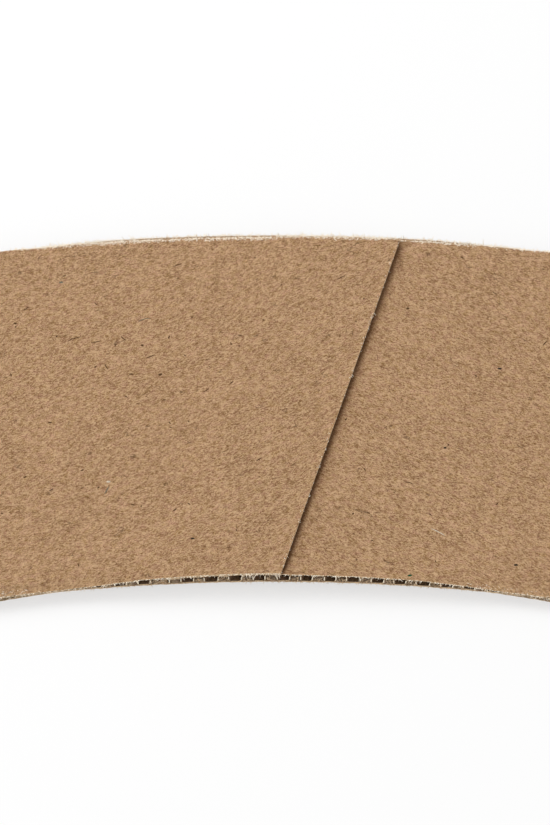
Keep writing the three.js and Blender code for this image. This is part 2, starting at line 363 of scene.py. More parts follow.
def sheet(name, upper, lower, grain, materials, fray_and_painted_shade=None, rim_kinds=None):
    """A closed sheet between two grids of points. `materials` are those of its upper face, its
    cut edges and its lower face; `rim_kinds` may give another one for each quad of the cut
    along the rims. All quads are turned over if the volume they close comes out negative."""
    quads, kinds = sheet_faces(*upper.shape[:2])
    if rim_kinds is not None:
        kinds[-2 * len(rim_kinds):] = np.tile(rim_kinds, 2)
    points = np.concatenate([upper.reshape(-1, 3), lower.reshape(-1, 3)])
    corners = points[quads]
    middle = points.mean(axis=0)
    a, b, c, d = (corners[:, k] - middle for k in range(4))
    volume = np.einsum("ij,ij->i", a, np.cross(b, c)).sum()
    volume += np.einsum("ij,ij->i", a, np.cross(c, d)).sum()
    if volume < 0:
        quads = quads[:, ::-1]
    grains = np.concatenate([grain.reshape(-1, 3), grain.reshape(-1, 3)])
    if fray_and_painted_shade is not None:
        fray_and_painted_shade = np.concatenate([fray_and_painted_shade.reshape(-1, 3), fray_and_painted_shade.reshape(-1, 3) * 0])
    return build(name, points, quads, kinds, materials, grains, fray_and_painted_shade)


def strokes(name, paths, widths, depth, material):
    """Many closed little strands as one mesh. Each follows one row of `paths`, and its section
    is a diamond of the half widths given, `depth` times as high as it is wide."""
    count, steps = paths.shape[:2]
    along = np.gradient(paths, axis=1)
    along /= np.linalg.norm(along, axis=2, keepdims=True)
    side = np.cross(along, np.array(NEARLY_UP))
    side /= np.maximum(np.linalg.norm(side, axis=2, keepdims=True), 1e-6)
    top = np.cross(side, along)
    w = widths[..., None]
    points = np.stack([paths + side * w, paths + top * w * depth,
                       paths - side * w, paths - top * w * depth], axis=2)
    index = np.arange(count * steps * 4).reshape(count, steps, 4)
    turned = np.roll(index, -1, axis=2)
    walls = np.stack([index[:, :-1], index[:, 1:], turned[:, 1:], turned[:, :-1]], axis=-1)
    quads = np.concatenate([walls.reshape(-1, 4), index[:, 0], index[:, -1, ::-1]])
    return build(name, points.reshape(-1, 3), quads, np.zeros(len(quads)), [material])


# The path round the sleeve. A fold's section, square to the fold line: distance in from the
# line and height, of the outer face and of the inner one, from the rear panel round the nose
# to the front.
NOSE_OUTER = np.array([
    [4.0, 0.0], [3.1, 0.06], [2.2, 0.22], [1.4, 0.45], [0.8, 0.70], [0.35, 1.0], [0.08, 1.35],
    [0.0, 1.65], [0.08, 1.95], [0.35, 2.28], [0.8, 2.58], [1.4, 2.83], [2.2, 3.03],
    [3.1, 3.15], [4.0, 3.18]])
NOSE_INNER = np.array([
    [4.0, 1.5], [3.1, 1.46], [2.2, 1.38], [1.6, 1.30], [1.15, 1.28], [0.85, 1.36], [0.70, 1.5],
    [0.66, 1.65], [0.70, 1.78], [0.85, 1.90], [1.15, 1.98], [1.6, 1.95], [2.2, 1.86],
    [3.1, 1.72], [4.0, 1.68]])

# The nose meets the front boards at their own heights: the outer face is drawn to them over
# NOSE_BLEND from NOSE_BLEND_START up, the inner one in its upper half, over
# NOSE_INNER_BLEND from NOSE_INNER_START inwards.
NOSE_MIDDLE = 1.65
NOSE_BLEND_START = 1.2
NOSE_BLEND = 1.6
NOSE_INNER_START = 0.7
NOSE_INNER_BLEND = 3.3


def finer(profile, count):
    """A profile's points respaced evenly along its length on a smooth curve: each coordinate
    is a piecewise cubic through the given points (Catmull-Rom)."""
    ends = np.concatenate([
        [2 * profile[0] - profile[1]], profile, [2 * profile[-1] - profile[-2]]])
    t = np.linspace(0, len(profile) - 1.000001, count)
    i = t.astype(int)
    f = (t - i)[:, None]
    p0, p1, p2, p3 = ends[i], ends[i + 1], ends[i + 2], ends[i + 3]
    return 0.5 * (2 * p1 + (p2 - p0) * f + (2 * p0 - 5 * p1 + 4 * p2 - p3) * f ** 2
                  + (3 * p1 - p0 - 3 * p2 + p3) * f ** 3)


def board_path():
    """The whole wrapped board as two grids of points, its outer and its inner face, with each
    point's place in the flat blank and its outer face's fray and painted shade. The columns run
    from the seam edge over the left flap, the left fold, the rear panel and the right fold to the
    right flap's hidden end, the rows from the narrow rim to the wide one. On the flaps the columns
    near the seam run parallel to it. The left flap's corner at the wide rim is rounded by a
    quarter circle."""
    q = ROWS[:, None]
    radius = NARROW_RADIUS + SLEEVE_HEIGHT * q
    inset = FOLD_TAPER / radius
    outer, inner, blank, fray_and_painted_shade = [], [], [], []

    def add(outer_points, inner_points, blank_angle, fray=0.0, shade=0.0):
        outer.append(outer_points)
        inner.append(inner_points)
        flat = (radius * np.sin(blank_angle), radius * np.cos(blank_angle), 0.0)
        for grid, parts in ((blank, flat), (fray_and_painted_shade, (fray, shade, 0.0))):
            shaped = np.broadcast_arrays(*parts, outer_points[..., 0])[:3]
            grid.append(np.stack(shaped, axis=-1))

    def flap(angle, heights, side, edge_fray, edge_shade):
        x, y = radius * np.sin(angle), radius * np.cos(angle)
        low, high = heights(x, y)
        fray, shade = face_fray_and_painted_shade(x, y)
        s = seam_distance(x, y)
        fray = np.clip(fray + edge_fray(s), 0, 1)
        shade = np.clip(shade + edge_shade(s), 0, MOST_SHADE)
        add(place(x, y, high), place(x, y, low), side * 2 * FOLD_ANGLE - angle, fray, shade)

    def nose(side):
        order = slice(None, None, side)
        out = finer(NOSE_OUTER, NOSE_COLUMNS + 2)[1:-1][order]
        inn = finer(NOSE_INNER, NOSE_COLUMNS + 2)[1:-1][order]
        edge = side * (FOLD_ANGLE - inset)
        low, high = plain_board(radius * np.sin(edge), radius * np.cos(edge))
        z_out, z_in = out[None, :, 1], inn[None, :, 1]
        pull = smooth((z_out - NOSE_BLEND_START) / NOSE_BLEND)
        z_out = z_out + pull * (high - NOSE_OUTER[-1, 1])
        share = np.clip((inn[None, :, 0] - NOSE_INNER_START) / NOSE_INNER_BLEND, 0, 1)
        z_in = z_in + np.where(z_in > NOSE_MIDDLE, share, 0) * (low - NOSE_INNER[-1, 1])
        way = np.linspace(-1, 1, len(out))[None, :]
        rise = rear_rise(edge) * smooth((1 - side * way) / 2)
        a_out = side * (FOLD_ANGLE - out[None, :, 0] / radius)
        a_in = side * (FOLD_ANGLE - inn[None, :, 0] / radius)
        add(place(radius * np.sin(a_out), radius * np.cos(a_out) + rise, z_out),
            place(radius * np.sin(a_in), radius * np.cos(a_in) + rise, z_in),
            side * FOLD_ANGLE + way * inset)

    def no_shade(s):
        return 0.0

    def seam_fray(s):
        return fade(np.maximum(s - start, 0), *SEAM_FRAY)

    # Painted shadow: the dark strip that the left flap's raised edge casts on the right flap beside
    # the seam, a Gauss curve and a softer fade.
    def seam_shade(s):
        away = np.maximum(-s, 0)
        width = SEAM_SHADE_WIDTH + SEAM_SHADE_WIDER_AT_WIDE_RIM * q
        depth = SEAM_SHADE - SEAM_SHADE_LOST_AT_WIDE_RIM * q
        soft = fade(away, *SEAM_SOFT_SHADE) * smooth((s + SEAM_SHADE_REACH) / 1.5)
        return depth * np.exp(-(away / width) ** 2) + soft

    corner = np.clip(SEAM_CORNER - (WIDE_RADIUS - radius), 0, SEAM_CORNER)
    start = SEAM_CORNER - np.sqrt(SEAM_CORNER ** 2 - corner ** 2)
    step = np.linspace(0, 1, SEAM_COLUMNS)[None, :] ** SEAM_CROWDING
    offset = start + (PAST_RAMP - start) * step
    w = np.linspace(0, 1, FLAP_COLUMNS + 1)[None, 1:]
    near_fold = -FOLD_ANGLE + inset
    angle = np.concatenate([line_angle(radius, offset),
                            line_angle(radius, PAST_RAMP) * (1 - w) + near_fold * w], axis=1)
    flap(angle, left_flap, -1, seam_fray, no_shade)

    nose(-1)
    angle = np.linspace(-1, 1, REAR_COLUMNS)[None, :] * (FOLD_ANGLE - inset)
    x, y = radius * np.sin(angle), radius * np.cos(angle) + rear_rise(angle)
    z_outer, z_inner = rear_panel(x, y)
    add(place(x, y, z_outer), place(x, y, z_inner), angle)
    nose(1)

    w = np.linspace(0, 1, FLAP_COLUMNS + 1)[None, :-1]
    offset = np.concatenate([
        np.linspace(-SEAM_SHADE_REACH, COLUMN_EDGE, SHADE_COLUMNS),
        np.linspace(COLUMN_EDGE, PAST_RAMP - COLUMN_EDGE, HIDDEN_COLUMNS + 1)[1:]])
    first = line_angle(radius, -SEAM_SHADE_REACH)
    angle = np.concatenate([(FOLD_ANGLE - inset) * (1 - w) + first * w,
                            line_angle(radius, offset[None, :])], axis=1)
    flap(angle, right_flap, 1, no_shade, seam_shade)
    return tuple(np.concatenate(grid, axis=1) for grid in (outer, inner, blank, fray_and_painted_shade))


def roughen_rims(points, seed, size):
    """Moves the first and last rows inwards along Y by small random amounts up to `size`, as a
    worn die leaves them."""
    rng = np.random.default_rng(seed)
    rough = points.copy()
    rough[0, :, 1] += rng.uniform(0, size, points.shape[1])
    rough[-1, :, 1] -= rng.uniform(0, size, points.shape[1])
    return rough


# The fluted medium.


def flute_path():
    """The medium's wave in its section, flute by flute: flat crests and troughs joined by
    steep flanks, each flank a straight run with rounded ends, a little different from the
    next in place and slant, as board is near a cut. Returns distances across the flutes in
    millimetres and heights from -1, trough, to 1, crest."""
    widen, scatter, least_lean, most_lean, corner = 0.02, 0.035, -0.012, 0.035, 0.028
    rng = np.random.default_rng(1)
    flanks = np.arange(-2 * FLUTES_EACH_WAY, 2 * FLUTES_EACH_WAY + 1)
    rising = np.where(flanks % 2 == 0, 1.0, -1.0)
    middle = (flanks + 0.5) / 2 + widen * rising + rng.uniform(-scatter, scatter, len(flanks))
    lean = rng.uniform(least_lean, most_lean, len(flanks))
    t = np.array([-1.0, -0.75, -0.35, 0.35, 0.75, 1.0])
    shift = np.array([-1.9, -0.95, -0.35, 0.35, 0.95, 1.9])
    across = middle[:, None] + lean[:, None] * shift[None] + corner * np.sign(t) * (abs(t) > 0.5)
    rise = np.array([-1.0, -0.93, -0.5, 0.5, 0.93, 1.0])
    height = rising[:, None] * rise[None]
    return across.ravel() * FLUTE_PITCH, height.ravel()


def flute_field(base, lean, span):
    """A grid whose rows run along the flutes: `base` is any point on a trough's line, `lean`
    the flutes' angle from +Y, and `span` gives, for lines at distances c, where each starts
    and stops. Returns plan positions, the distances, the wave's heights and the heading
    across the flutes."""
    along = np.array([math.sin(lean), math.cos(lean)])
    across = np.array([along[1], -along[0]])
    c, height = flute_path()
    keep, start, stop = span(c, base, along, across)
    c, height = c[keep], height[keep]
    near = np.array([0, 0.15, 0.35, 0.6, 0.9, 1.3, 2.0])
    margin, most_share, least = 2.2, 0.12, 0.1
    length = stop - start
    limit = most_share * length[None]
    middle = np.linspace(0, 1, 16)[1:-1, None]
    t = np.concatenate([
        np.minimum(near[:, None], limit * (1 + near[:, None])),
        margin + middle * np.maximum(length[None] - 2 * margin, least),
        length[None] - np.minimum(near[4::-1, None], limit),
    ])
    t = np.sort(np.clip(t, 0, length[None]), axis=0) + start[None]
    x = base[0] + across[0] * c[None] + along[0] * t
    y = base[1] + across[1] * c[None] + along[1] * t
    return x, y, c, height, across


def circle_crossing(x, y, along, radius):
    """The distance along a heading at which a line from (x, y) leaves a circle about the
    centre."""
    b = x * along[0] + y * along[1]
    return -b + np.sqrt(np.maximum(b * b - x * x - y * y + radius * radius, 0))


def fan_span(low_limit, high_limit, risen):
    """Builds the span rule of one panel: every line runs from the narrow rim to the wide one,
    cut back where it would pass closer than an inset to one of two boundary lines, each given
    as (point, heading, inset), whose inside is on the left of the heading. Where the rims
    are risen, the lines move out with them."""

    def span(c, base, along, across):
        x = base[0] + across[0] * c
        y = base[1] + across[1] * c
        start = circle_crossing(x, y, along, NARROW_RADIUS)
        stop = circle_crossing(x, y, along, WIDE_RADIUS)
        for point, heading, inset in (low_limit, high_limit):
            left = np.array([-heading[1], heading[0]])
            depth = (x - point[0]) * left[0] + (y - point[1]) * left[1] - inset
            gain = along @ left
            crossing = -depth / gain
            if gain > 0:
                start = np.maximum(start, crossing)
            else:
                stop = np.minimum(stop, crossing)
        if risen:
            out = rear_rise(np.arctan2(x + along[0] * start, y + along[1] * start))
            start, stop = start + out, stop + out
        keep = stop - start > 0.8
        return keep, start[keep], stop[keep]

    return span


def medium(name, faces, base_x, lean, low_limit, high_limit, materials, risen=False):
    """The wavy medium of one panel: its section's wave fills the space between the liners, and
    its two faces stand off the wave by half the paper's thickness, square to it. The steep
    flanks' cut is the fourth material, that of the flat crests and troughs the second."""
    span = fan_span(low_limit, high_limit, risen)
    x, y, c, height, across = flute_field((base_x, NARROW_RADIUS), lean, span)
    low, high = faces(x, y)
    thick = high - low
    liner = LINER * (0.5 + 0.5 * thick / BOARD)
    room = np.maximum(thick - 2 * liner - MEDIUM, LEAST_WAVE)
    centre = low + thick / 2 + height[None] * room / 2
    run = np.gradient(c)[None]
    climb = np.gradient(centre, axis=1)
    size = np.hypot(run, climb)
    half = np.minimum(MEDIUM / 2, (thick - 2 * liner) / 2 + 0.02)
    side, up = -climb / size * half, run / size * half
    upper = place(x + across[0] * side, y + across[1] * side, centre + up)
    lower = place(x - across[0] * side, y - across[1] * side, centre - up)
    grain = np.stack([np.broadcast_to(c[None], x.shape), y, centre], axis=-1)
    rough = np.random.default_rng(21).uniform(0, FLUTE_ROUGH, len(c))
    for face in (upper, lower):
        face[0, :, 1] += rough
    flank = np.abs(np.diff(height)) > 0.5
    return sheet(name, upper, lower, grain, materials, rim_kinds=np.where(flank, 3, 1))


# Materials.


def wire(tree, kind, inputs=None, **settings):
    """Adds a shader node, sets its settings and fills or links its inputs."""
    made = tree.nodes.new(kind)
    for key, value in settings.items():
        setattr(made, key, value)
    for key, value in (inputs or {}).items():
        if isinstance(value, bpy.types.NodeSocket):
            tree.links.new(value, made.inputs[key])
        else:
            made.inputs[key].default_value = value
    return made


def linear(r, g, b):
    """An 8-bit sRGB colour as linear values with alpha."""
    def one(v):
        v /= 255.0
        return v / 12.92 if v <= 0.04045 else ((v + 0.055) / 1.055) ** 2.4
    return (one(r), one(g), one(b), 1.0)


def ramp(tree, factor, stops):
    """A colour ramp through (position, value) stops, as one output. A value is a grey or a
    triple of red, green and blue."""
    made = wire(tree, "ShaderNodeValToRGB", {"Fac": factor})
    elements = made.color_ramp.elements
    while len(elements) < len(stops):
        elements.new(0.5)
    for element, (position, value) in zip(elements, stops):
        element.position = position
        element.color = (*np.broadcast_to(value, 3), 1)
    return made.outputs["Color"]


def noise(tree, place_in_blank, size, detail=2.0, roughness=0.5, turn=0.0, stretch=1.0, at=0.0,
          twist=0.0):
    """Noise whose features are about `size` metres, drawn out `stretch` times along a heading
    turned from the board's run and bent by `twist`."""
    turned = wire(tree, "ShaderNodeMapping", {
        "Vector": place_in_blank,
        "Location": (at, at * 0.7, 0),
        "Rotation": (0, 0, math.radians(turn)),
        "Scale": (1 / (size * stretch), 1 / size, 1 / size),
    })
    return wire(tree, "ShaderNodeTexNoise", {
        "Vector": turned.outputs["Vector"], "Scale": 1.0, "Detail": detail,
        "Roughness": roughness, "Distortion": twist}).outputs["Fac"]


def math_node(tree, operation, a, b):
    """One arithmetic step on sockets or numbers."""
    return wire(tree, "ShaderNodeMath", {0: a, 1: b}, operation=operation).outputs[0]


def strands(tree, blank, size, stretch, turn, width, at, cover=(0.42, 0.58)):
    """Thin curving fibres: the contour lines of a smooth noise, where it is within `width` of
    its middle value, broken up by a second, coarser noise."""
    field = noise(tree, blank, size, 1.6, 0.5, turn, stretch, at)
    off = math_node(tree, "ABSOLUTE", math_node(tree, "SUBTRACT", field, 0.5), 0.0)
    line = ramp(tree, off, [(0.0, 1.0), (width, 0.0)])
    mask = ramp(tree, noise(tree, blank, size * 1.7, 1.0, 0.5, turn, 1.5, at + 5.0),
                [(cover[0], 0.0), (cover[1], 1.0)])
    return math_node(tree, "MULTIPLY", line, mask)


def mix(tree, kind, a, b, factor):
    """Mixes two colours; each may be a socket or a colour."""
    made = wire(tree, "ShaderNodeMix", {}, data_type="RGBA", blend_type=kind)
    factor_socket, a_socket, b_socket = (made.inputs[k] for k in (0, 6, 7))
    for socket, value in ((a_socket, a), (b_socket, b), (factor_socket, factor)):
        if isinstance(value, bpy.types.NodeSocket):
            tree.links.new(value, socket)
        else:
            socket.default_value = value
    return made.outputs[2]


def paper(name, roughness, shine):
    """A new material with one plain shader. Returns the material, its node tree and the
    shader."""
    material = bpy.data.materials.new(name)
    material.use_nodes = True
    tree = material.node_tree
    tree.nodes.clear()
    output = wire(tree, "ShaderNodeOutputMaterial")
    shader = wire(tree, "ShaderNodeBsdfPrincipled",
                  {"Roughness": roughness, "Specular IOR Level": shine})
    tree.links.new(shader.outputs[0], output.inputs["Surface"])
    return material, tree, shader


def kraft(name, base, strength=1.0):
    """Unbleached kraft paper: soft clouds, pinkish and ochre patches, a grain the size of
    single fibres, crossing light and dark strands and dark shives, all scaled by `strength`.
    Where the surface is frayed it turns pale in flecks, and where shade is painted on it, the
    shadow beside the seam and the shade in the crease, it turns dark brown."""
    material, tree, shader = paper(name, 0.9, 0.2)
    blank = wire(tree, "ShaderNodeAttribute", attribute_name="grain").outputs["Vector"]
    # The attribute's X is the fray, its Y the painted shade.
    worn = wire(tree, "ShaderNodeAttribute", attribute_name="fray_and_painted_shade").outputs["Vector"]
    worn = wire(tree, "ShaderNodeSeparateXYZ", {"Vector": worn})

    def tone(value, spread):
        low = np.maximum(1 - spread * strength * np.array([0.92, 1.04, 1.22]), 0.05)
        high = 1 + spread * strength * np.array([0.9, 1.04, 1.3])
        return ramp(tree, value, [(0.3, low), (0.7, high)])

    def tinted(red, green, blue):
        return (min(1, base[0] * red), min(1, base[1] * green), min(1, base[2] * blue), 1.0)

    patches = ramp(tree, noise(tree, blank, 0.00085, 2.0, 0.6, 30, 1.5, 51.0),
                   [(0.38, 0.0), (0.62, 1.0)])
    colour = mix(tree, "MIX", tinted(1.07, 1.01, 1.16), tinted(0.96, 0.98, 0.80), patches)
    for grain, spread in (
        (noise(tree, blank, 0.0060, 3.0, 0.55), 0.15),
        (noise(tree, blank, 0.0014, 2.0, 0.6, 5, 1.6, 2.0), 0.24),
        (noise(tree, blank, 0.00030, 2.0, 0.6, -20, 1.7, 5.0), 0.18),
        (noise(tree, blank, 0.00011, 2.0, 0.6, 40, 1.2, 45.0), 0.90),
    ):
        colour = mix(tree, "MULTIPLY", colour, tone(grain, spread), 1.0)

    light = tinted(1.62, 1.88, 2.30)
    dark = tinted(0.42, 0.33, 0.22)
    tooth = gaps = None
    for turn, at in ((10, 9.0), (68, 15.0), (-52, 25.0)):
        lines = noise(tree, blank, 0.00014, 1.0, 0.5, turn, 3.4, at, 0.7)
        tooth = lines if tooth is None else math_node(tree, "MAXIMUM", tooth, lines)
        gaps = lines if gaps is None else math_node(tree, "MINIMUM", gaps, lines)
    lit = ramp(tree, tooth, [(0.57, 0.0), (0.70, strength)])
    sunk = ramp(tree, gaps, [(0.26, 0.80 * strength), (0.42, 0.0)])
    colour = mix(tree, "MIX", colour, light, lit)
    colour = mix(tree, "MIX", colour, dark, sunk)
    pale = None
    for size, stretch, turn, at, amount, shade in (
        (0.00050, 2.6, 8, 3.0, 0.70, dark),
        (0.00045, 1.8, -38, 7.0, 0.65, dark),
        (0.00045, 2.0, 65, 37.0, 0.60, dark),
        (0.00045, 2.4, 3, 13.0, 0.90, light),
        (0.00040, 1.9, 52, 19.0, 0.90, light),
        (0.00040, 2.0, -62, 29.0, 0.85, light),
    ):
        lines = strands(tree, blank, size, stretch, turn, 0.035, at)
        if shade is light:
            pale = lines if pale is None else math_node(tree, "MAXIMUM", pale, lines)
        amount = math_node(tree, "MULTIPLY", lines, amount * strength)
        colour = mix(tree, "MIX", colour, shade, amount)
    for size, turn, at, cover in ((0.0014, 15, 41.0, 0.60), (0.0011, -50, 61.0, 0.61)):
        shive = strands(tree, blank, size, 2.2, turn, 0.012, at, (cover, cover + 0.05))
        shive = math_node(tree, "MULTIPLY", shive, 0.8 * strength)
        colour = mix(tree, "MIX", colour, tinted(0.22, 0.19, 0.16), shive)

    fleck = ramp(tree, tooth, [(0.48, 0.35), (0.66, 1.0)])
    fray = math_node(tree, "MULTIPLY", worn.outputs["X"], fleck)
    colour = mix(tree, "MIX", colour, tinted(1.75, 1.95, 2.25), fray)
    # Painted shade: the left flap's shadow beside the seam and the shade in the crease, mixed in as
    # dark brown.
    colour = mix(tree, "MIX", colour, tinted(0.25, 0.155, 0.075), worn.outputs["Y"])
    tree.links.new(colour, shader.inputs["Base Color"])

    relief = math_node(tree, "ADD", tooth, math_node(tree, "MULTIPLY", pale, 0.5))
    height = wire(tree, "ShaderNodeBump", {
        "Strength": 0.5, "Distance": 0.00005, "Height": relief})
    tree.links.new(height.outputs["Normal"], shader.inputs["Normal"])
    return material


def cut_paper(name, base, darkest=0.62):
    """Paper's torn-looking section, or a bare fibre: one colour with fine random flecks, the
    darkest of them `darkest` times as bright."""
    material, tree, shader = paper(name, 0.95, 0.1)
    position = wire(tree, "ShaderNodeTexCoord").outputs["Object"]
    fleck = wire(tree, "ShaderNodeTexNoise", {
        "Vector": position, "Scale": 3200.0, "Detail": 3.0, "Roughness": 0.7}).outputs["Fac"]
    tone = ramp(tree, fleck, [(0.3, darkest), (0.7, 1.12)])
    tree.links.new(mix(tree, "MULTIPLY", base, tone, 1.0), shader.inputs["Base Color"])
    return material


outer_kraft = kraft("outer_kraft", linear(166, 128, 89))
inner_kraft = kraft("inner_kraft", linear(166, 132, 99), 0.8)
# The liners' backs are lighter than their faces, partly as their own paper and partly as painted
# light in the cells that open under the medium's crests.
liner_back = kraft("liner_back", linear(205, 174, 138), 0.8)
# The medium is darker, partly as its own browner paper and partly as painted shade inside the flute
# cells.
medium_kraft = kraft("medium_kraft", linear(100, 76, 54), 0.7)
cut_edge = cut_paper("cut_edge", linear(216, 188, 152), 0.5)
# The medium's cut flanks are near white, partly their pale cut paper and partly painted light.
medium_edge = cut_paper("medium_edge", linear(254, 242, 218), 0.85)
pale_fibre = cut_paper("pale_fibre", linear(254, 242, 222), 0.9)
brown_fibre = cut_paper("brown_fibre", linear(228, 202, 168), 0.7)

# The sleeve's pieces.


def liners(outer, inner, blank, fray_and_painted_shade):
    """The outer and the inner liner, each one sheet all the way round, from the seam edge to
    the hidden end: the board's outer face sunk by the liner's thickness, and the inner face
    raised by it. A liner is thinner where the board is crushed. The inner liner is frayed at
    the wide rim, in a Gauss curve of the distance."""
    thick = np.linalg.norm(inner - outer, axis=-1, keepdims=True)
    share = np.minimum(LINER * (0.5 + 0.5 * np.minimum(thick / BOARD, 1)) / thick, MOST_LINER)
    outer_under = outer + (inner - outer) * share
    inner_under = inner + (outer - inner) * share
    inner_wear = np.zeros_like(fray_and_painted_shade)
    outward = (1 - ROWS[:, None]) * SLEEVE_HEIGHT
    inner_wear[..., 0] = np.exp(-(outward / REAR_RIM_FRAY_REACH) ** 2)
    made = []
    # Each liner's fray and painted shade: the outer one carries the painted shade beside the seam
    # and in the crease, the inner one none.
    for name, face, back, material, worn in (
        ("outer_liner", outer, outer_under, outer_kraft, fray_and_painted_shade),
        ("inner_liner", inner, inner_under, inner_kraft, inner_wear),
    ):
        face = roughen_rims(face, 3, RIM_ROUGH)
        back[0, :, 1], back[-1, :, 1] = face[0, :, 1], face[-1, :, 1]
        made.append(sheet(name, face, back, blank, [material, cut_edge, liner_back], worn))
    return made, outer_under, inner_under


def crushed_fill(name, outer_under, inner_under, blank, columns):
    """The medium crushed flat between the liners, as a solid between their backs."""
    return sheet(name, outer_under[:, columns], inner_under[:, columns], blank[:, columns],
                 [medium_kraft, cut_edge, medium_kraft])


def fold_lines():
    """Both fold lines as (point, heading), with the sleeve's inside on the left."""
    left = np.array([-math.sin(FOLD_ANGLE), math.cos(FOLD_ANGLE)])
    right = np.array([math.sin(FOLD_ANGLE), math.cos(FOLD_ANGLE)])
    return (left * WIDE_RADIUS, -left), (right * NARROW_RADIUS, right)


def along_line(line, rng, count):
    """Random points on a run of points, as many per millimetre everywhere."""
    gone = np.concatenate([[0], np.cumsum(np.linalg.norm(np.diff(line, axis=0), axis=1))])
    at = rng.uniform(0, gone[-1], count)
    return np.stack([np.interp(at, gone, line[:, k]) for k in range(3)], axis=1)


def sprouts(rng, roots, way, spread, length, curl):
    """Curved fibres from their roots: root + heading * length * t + bend * t squared. The
    heading is the given way turned at random by up to the spread, the lengths lie between the
    two given and the bend is random up to `curl` of the length."""
    count = len(roots)
    heading = np.array(way, float) + rng.uniform(-1, 1, (count, 3)) * np.array(spread)
    heading /= np.linalg.norm(heading, axis=1, keepdims=True)
    size = (length[0] + (length[1] - length[0]) * rng.random(count) ** 2)[:, None]
    bend = rng.uniform(-1, 1, (count, 3)) * size * curl
    t = np.linspace(0, 1, 5)[None, :, None]
    return roots[:, None] + (heading * size)[:, None] * t + bend[:, None] * t * t


def laid(rng, line, count, inward, length, along):
    """Fibres that lie on the front: rooted up to `inward` inside a run of points, headed mostly
    along X when `along` is large, on the height of the face under each root."""
    roots = along_line(line, rng, count)
    roots[:, 0] -= inward[0] * rng.random(count)
    roots[:, 1] -= inward[1] * rng.random(count)
    roots[:, 2] = front_height(roots[:, 0], roots[:, 1] - FAN_CENTRE_Y) + 0.02
    return sprouts(rng, roots, (0, 0, 0.12), (along, 1.0, 0.12), length, 0.3)


# Loose fibres: the heights they keep between, and the tufts in the cells under the crests of
# each front panel's medium, as the X of a trough, the flutes' lean and the X between which
# the cells are open.
FIBRE_LOWEST = 0.08
FIBRE_HIGHEST = 3.78
TUFTED = ((RIGHT_FLUTE_X, 2 * FOLD_ANGLE, -13.0, 49.5),
          (LEFT_FLUTE_X, -2 * FOLD_ANGLE, -49.5, -16.5))
TUFT_FIBRES = 12
TUFT_HALF_WIDTH = 0.58
TUFT_LEAST_CELL = 0.55


def hair(name, rng, parts, thin, thick, material):
    """One mesh of fibres whose half widths lie between thin and thick and shrink to a third at
    the tip."""
    paths = np.concatenate(parts)
    paths[..., 2] = np.clip(paths[..., 2], FIBRE_LOWEST, FIBRE_HIGHEST)
    widths = rng.uniform(thin, thick, len(paths))[:, None] * np.linspace(1, 0.33, 5)[None]
    return strokes(name, paths, widths, 0.6, material)


